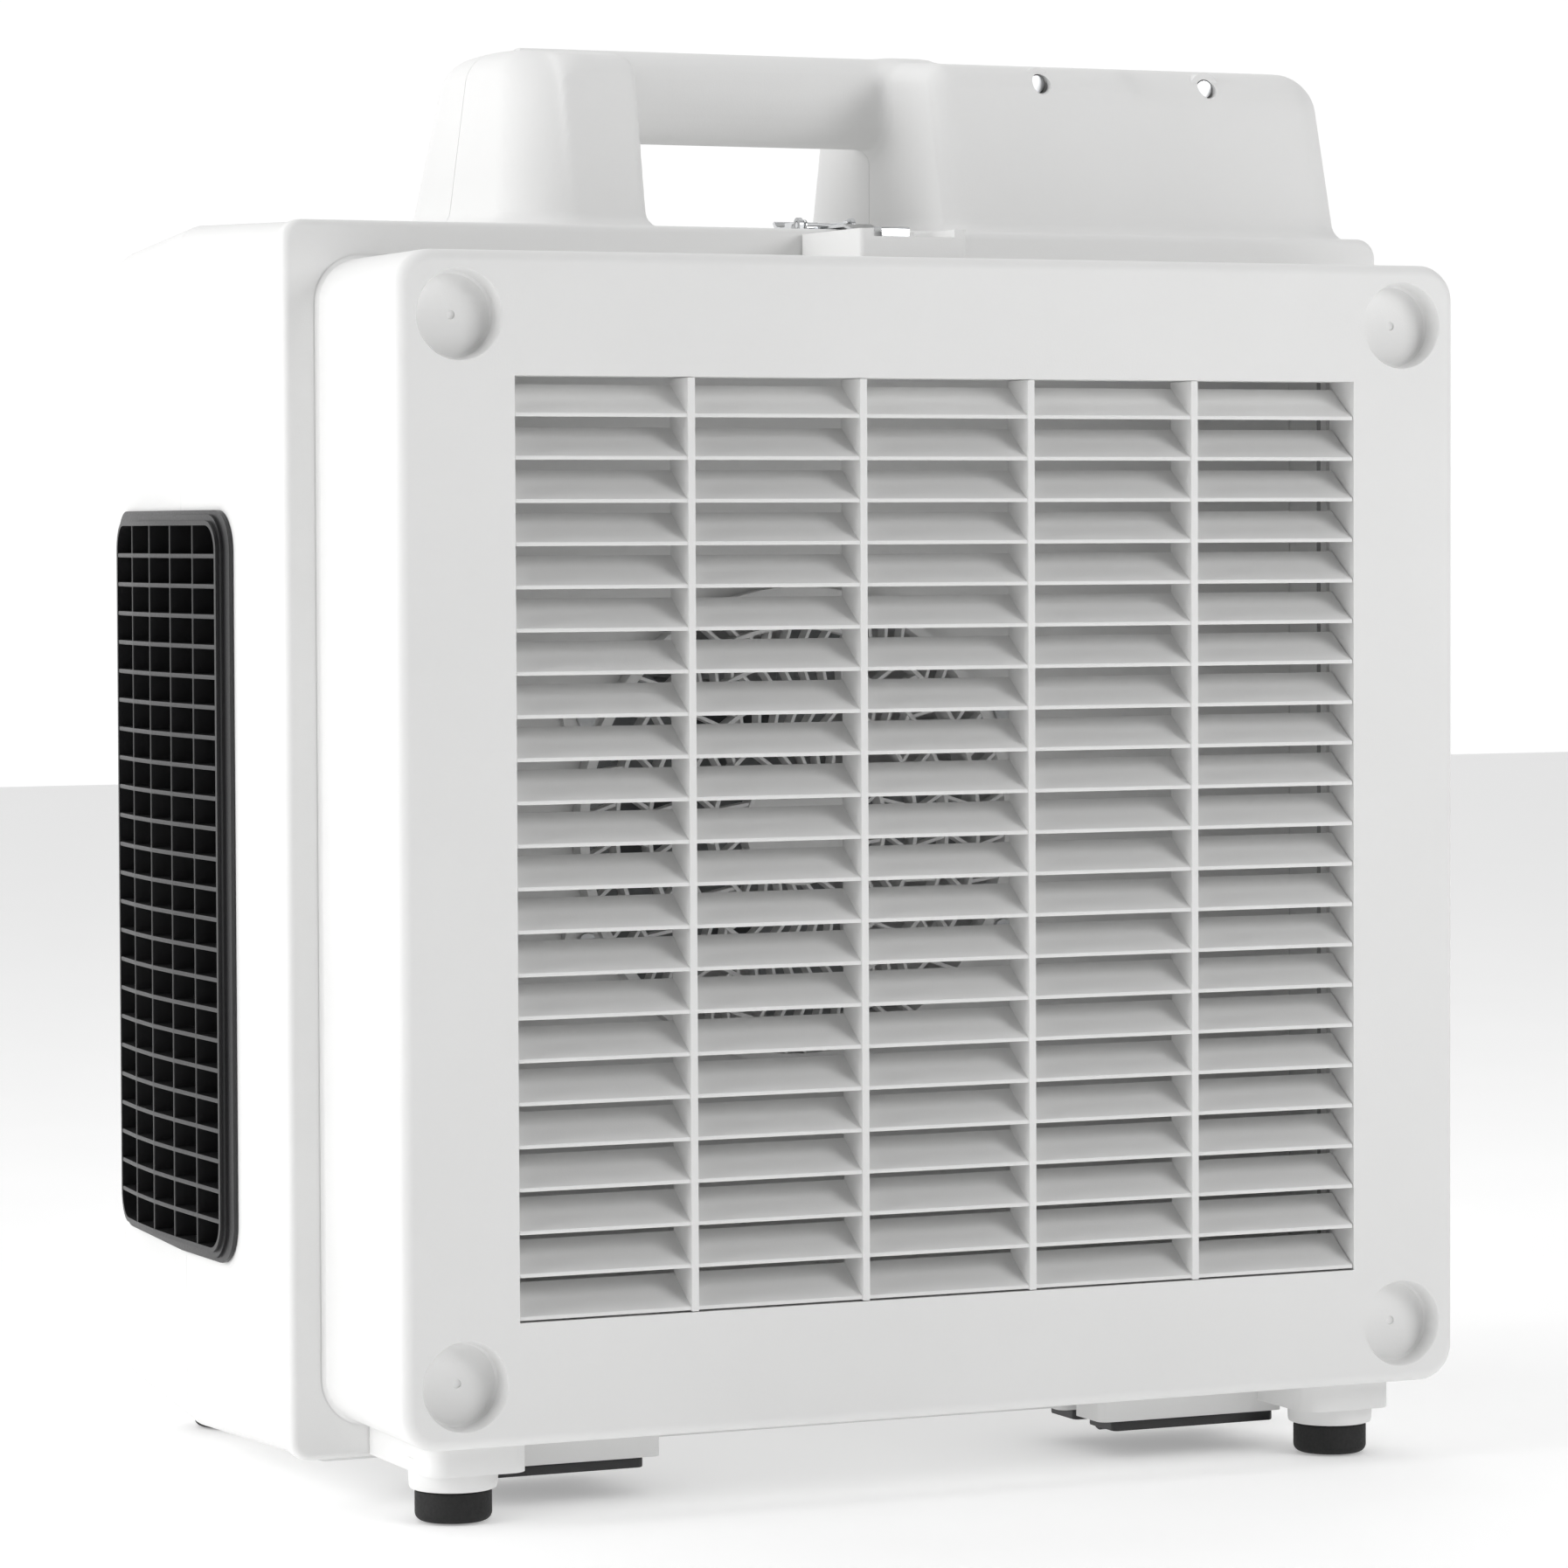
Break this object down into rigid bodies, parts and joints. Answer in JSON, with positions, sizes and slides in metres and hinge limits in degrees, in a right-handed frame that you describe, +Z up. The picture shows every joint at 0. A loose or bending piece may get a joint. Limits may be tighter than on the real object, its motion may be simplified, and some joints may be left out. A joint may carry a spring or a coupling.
{
  "type": "portable air mover",
  "caption": "Portable air mover in a moulded case: hinged louvred intake door, axial fan behind a finger guard, side outlet grilles, and a carrying handle that holds the controls.",
  "frame": {"origin": "centre of the footprint, on the surface that the rubber feet stand on", "axes": "+Z up; +Y from the intake door towards the back panel; +X to the right as seen from in front of the door"},
  "size_m": [0.4708, 0.34, 0.5575],
  "materials": {
    "case_white": "fine spark-eroded texture",
    "black_plastic": "satin",
    "rubber_black": "matt",
    "gasket_foam": "closed-cell foam",
    "latch_steel": "polished",
    "zinc_steel": "zinc plated",
    "motor_paint": "semi-gloss",
    "fan_plastic": "satin",
    "switch_red": "gloss",
    "capacitor_can": "drawn"
  },
  "bodies": {
    "housing": {"back_bumper_lower_left": "rubber_black", "back_bumper_lower_right": "rubber_black", "back_bumper_upper_left": "rubber_black", "back_bumper_upper_right": "rubber_black", "breaker_body": "black_plastic", "capacitor_clip": "zinc_steel", "cord_gland": "black_plastic", "fan_bulkhead": "case_white", "fan_shroud": "case_white", "finger_guard": "case_white", "front_shell": "case_white", "guard_screw_1": "zinc_steel", "guard_screw_2": "zinc_steel", "guard_screw_3": "zinc_steel", "guard_screw_4": "zinc_steel", "handle_front_shell": "case_white", "handle_rear_shell": "case_white", "handle_screw_1": "zinc_steel", "handle_screw_2": "zinc_steel", "hinge_case_leaf_left": "black_plastic", "hinge_case_leaf_right": "black_plastic", "hinge_pin_left": "zinc_steel", "hinge_pin_right": "zinc_steel", "latch_base": "zinc_steel", "latch_rivet_1": "zinc_steel", "latch_rivet_2": "zinc_steel", "motor": "motor_paint", "motor_bracket": "zinc_steel", "motor_lead": "black_plastic", "motor_screw_1": "zinc_steel", "motor_screw_2": "zinc_steel", "motor_screw_3": "zinc_steel", "motor_screw_4": "zinc_steel", "rear_foot_left": "rubber_black", "rear_foot_right": "rubber_black", "rear_shell": "case_white", "rocker_frame": "black_plastic", "run_capacitor": "capacitor_can", "side_grille_left": "black_plastic", "side_grille_right": "black_plastic", "speed_switch": "motor_paint", "terminal_block": "black_plastic"},
    "door": {"door_frame": "case_white", "door_gasket": "gasket_foam", "front_foot_left": "rubber_black", "front_foot_right": "rubber_black", "hinge_door_leaf_left": "black_plastic", "hinge_door_leaf_right": "black_plastic", "louvre_panel": "case_white"},
    "latch_lever": {"latch_lever": "latch_steel", "latch_hook_pin": "zinc_steel"},
    "latch_hook": {"latch_hook": "latch_steel"},
    "fan_rotor": {"impeller": "fan_plastic", "motor_shaft": "zinc_steel", "impeller_nut": "zinc_steel"},
    "speed_knob": {"speed_knob": "black_plastic"},
    "power_rocker": {"power_rocker": "switch_red"},
    "breaker_button": {"breaker_button": "black_plastic"}
  },
  "joints": [
    {"name": "door_hinge", "type": "hinge", "parent": "housing", "child": "door", "pos_m": [0, -0.082, 0.0117], "axis": [1, 0, 0], "range_deg": [0, 100]},
    {"name": "latch_lever_pivot", "type": "hinge", "parent": "housing", "child": "latch_lever", "pos_m": [0, -0.06, 0.4856], "axis": [1, 0, 0], "range_deg": [0, 140]},
    {"name": "latch_hook_pivot", "type": "hinge", "parent": "latch_lever", "child": "latch_hook", "pos_m": [0, -0.051, 0.485], "axis": [1, 0, 0], "range_deg": [-155, 0]},
    {"name": "fan_spin", "type": "hinge", "parent": "housing", "child": "fan_rotor", "pos_m": [0, 0, 0.249], "axis": [0, 1, 0], "continuous": true},
    {"name": "speed_knob_turn", "type": "hinge", "parent": "housing", "child": "speed_knob", "pos_m": [0.186, 0.06151, 0.512], "axis": [0, 0.9715, 0.237], "range_deg": [-270, 0]},
    {"name": "power_rocker_tilt", "type": "hinge", "parent": "housing", "child": "power_rocker", "pos_m": [0.14, 0.05956, 0.51153], "axis": [1, 0, 0], "range_deg": [-16, 0]},
    {"name": "breaker_reset_press", "type": "slide", "parent": "housing", "child": "breaker_button", "axis": [0, -0.9715, -0.237], "range_m": [0, 0.003], "stiffness_N_per_m": 400, "springref_m": -0.003}
  ],
  "couplings": [
    {"joint": "latch_hook_pivot", "follows": "latch_lever_pivot", "ratio": -1.1}
  ]
}
